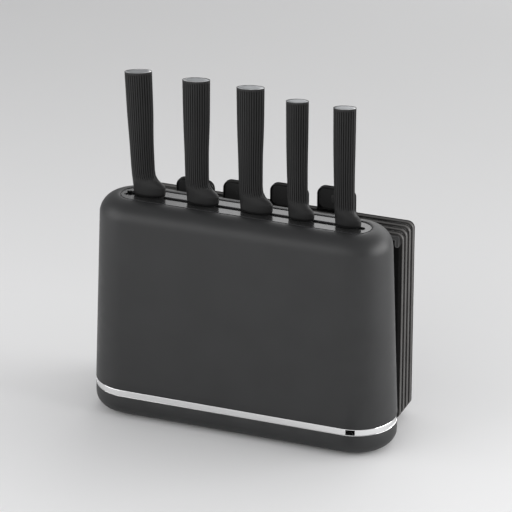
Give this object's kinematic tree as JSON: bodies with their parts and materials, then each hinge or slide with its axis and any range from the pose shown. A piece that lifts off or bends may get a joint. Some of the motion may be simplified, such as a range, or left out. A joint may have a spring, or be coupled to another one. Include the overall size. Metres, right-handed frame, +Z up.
{
  "type": "knife block with knives",
  "caption": "Rounded black knife block with a long top slot, ribbed-handle knives, a bright base band and a rear rack of index chopping boards.",
  "frame": {"origin": "centre of the footprint, on the surface that the feet stand on", "axes": "+Z up, +X to the right along the knife slot, -Y towards the user; the boards stand on the +Y side"},
  "size_m": [0.315, 0.1248, 0.3582],
  "materials": {
    "shell_plastic": "fine satin texture, charcoal black",
    "band_chrome": "mirror bright",
    "base_plastic": "fine satin texture, charcoal black",
    "foot_rubber": "matt",
    "plate_plastic": "satin gloss, black",
    "guide_plastic": "moulded, black",
    "liner_rubber": "matt",
    "screw_steel": "zinc plated",
    "rack_plastic": "moulded, black",
    "blade_steel": "fine lengthwise brushing",
    "neck_plastic": "smooth matt",
    "sleeve_rubber": "matt, ribbed lengthwise",
    "cap_steel": "brushed",
    "board_plastic": "fine knife-friendly grain",
    "label_plastic": "satin",
    "corner_rubber": "matt"
  },
  "bodies": {
    "block": {"block_shell": "shell_plastic", "trim_band": "band_chrome", "base_shell": "base_plastic", "rubber_feet": "foot_rubber", "top_plate": "plate_plastic", "guide_panel_front": "guide_plastic", "guide_panel_rear": "guide_plastic", "guide_end_strips": "guide_plastic", "slot_liner_front": "liner_rubber", "slot_liner_rear": "liner_rubber", "tip_pad": "liner_rubber", "guide_screws": "screw_steel", "base_screws": "screw_steel", "rack_tray": "rack_plastic", "rack_dividers": "rack_plastic", "rack_screws": "screw_steel"},
    "bread_knife": {"bread_knife_blade": "blade_steel", "bread_knife_handle_core": "neck_plastic", "bread_knife_grip_sleeve": "sleeve_rubber", "bread_knife_end_cap": "cap_steel"},
    "chef_knife": {"chef_knife_blade": "blade_steel", "chef_knife_handle_core": "neck_plastic", "chef_knife_grip_sleeve": "sleeve_rubber", "chef_knife_end_cap": "cap_steel"},
    "carving_knife": {"carving_knife_blade": "blade_steel", "carving_knife_handle_core": "neck_plastic", "carving_knife_grip_sleeve": "sleeve_rubber", "carving_knife_end_cap": "cap_steel"},
    "utility_knife": {"utility_knife_blade": "blade_steel", "utility_knife_handle_core": "neck_plastic", "utility_knife_grip_sleeve": "sleeve_rubber", "utility_knife_end_cap": "cap_steel"},
    "paring_knife": {"paring_knife_blade": "blade_steel", "paring_knife_handle_core": "neck_plastic", "paring_knife_grip_sleeve": "sleeve_rubber", "paring_knife_end_cap": "cap_steel"},
    "front_board": {"front_board_panel": "board_plastic", "front_board_tab_label": "label_plastic", "front_board_corner_grips": "corner_rubber"},
    "second_board": {"second_board_panel": "board_plastic", "second_board_tab_label": "label_plastic", "second_board_corner_grips": "corner_rubber"},
    "third_board": {"third_board_panel": "board_plastic", "third_board_tab_label": "label_plastic", "third_board_corner_grips": "corner_rubber"},
    "rear_board": {"rear_board_panel": "board_plastic", "rear_board_tab_label": "label_plastic", "rear_board_corner_grips": "corner_rubber"}
  },
  "joints": [
    {"name": "bread_knife_draw", "type": "slide", "parent": "block", "child": "bread_knife", "axis": [-0.0349, 0, 0.9994], "range_m": [0, 0.335]},
    {"name": "chef_knife_draw", "type": "slide", "parent": "block", "child": "chef_knife", "axis": [0, 0, 1], "range_m": [0, 0.335]},
    {"name": "carving_knife_draw", "type": "slide", "parent": "block", "child": "carving_knife", "axis": [0, 0, 1], "range_m": [0, 0.335]},
    {"name": "utility_knife_draw", "type": "slide", "parent": "block", "child": "utility_knife", "axis": [0, 0, 1], "range_m": [0, 0.265]},
    {"name": "paring_knife_draw", "type": "slide", "parent": "block", "child": "paring_knife", "axis": [0, 0, 1], "range_m": [0, 0.225]},
    {"name": "front_board_lift", "type": "slide", "parent": "block", "child": "front_board", "axis": [0, 0, 1], "range_m": [0, 0.355]},
    {"name": "second_board_lift", "type": "slide", "parent": "block", "child": "second_board", "axis": [0, 0, 1], "range_m": [0, 0.355]},
    {"name": "third_board_lift", "type": "slide", "parent": "block", "child": "third_board", "axis": [0, 0, 1], "range_m": [0, 0.355]},
    {"name": "rear_board_lift", "type": "slide", "parent": "block", "child": "rear_board", "axis": [0, 0, 1], "range_m": [0, 0.355]}
  ]
}
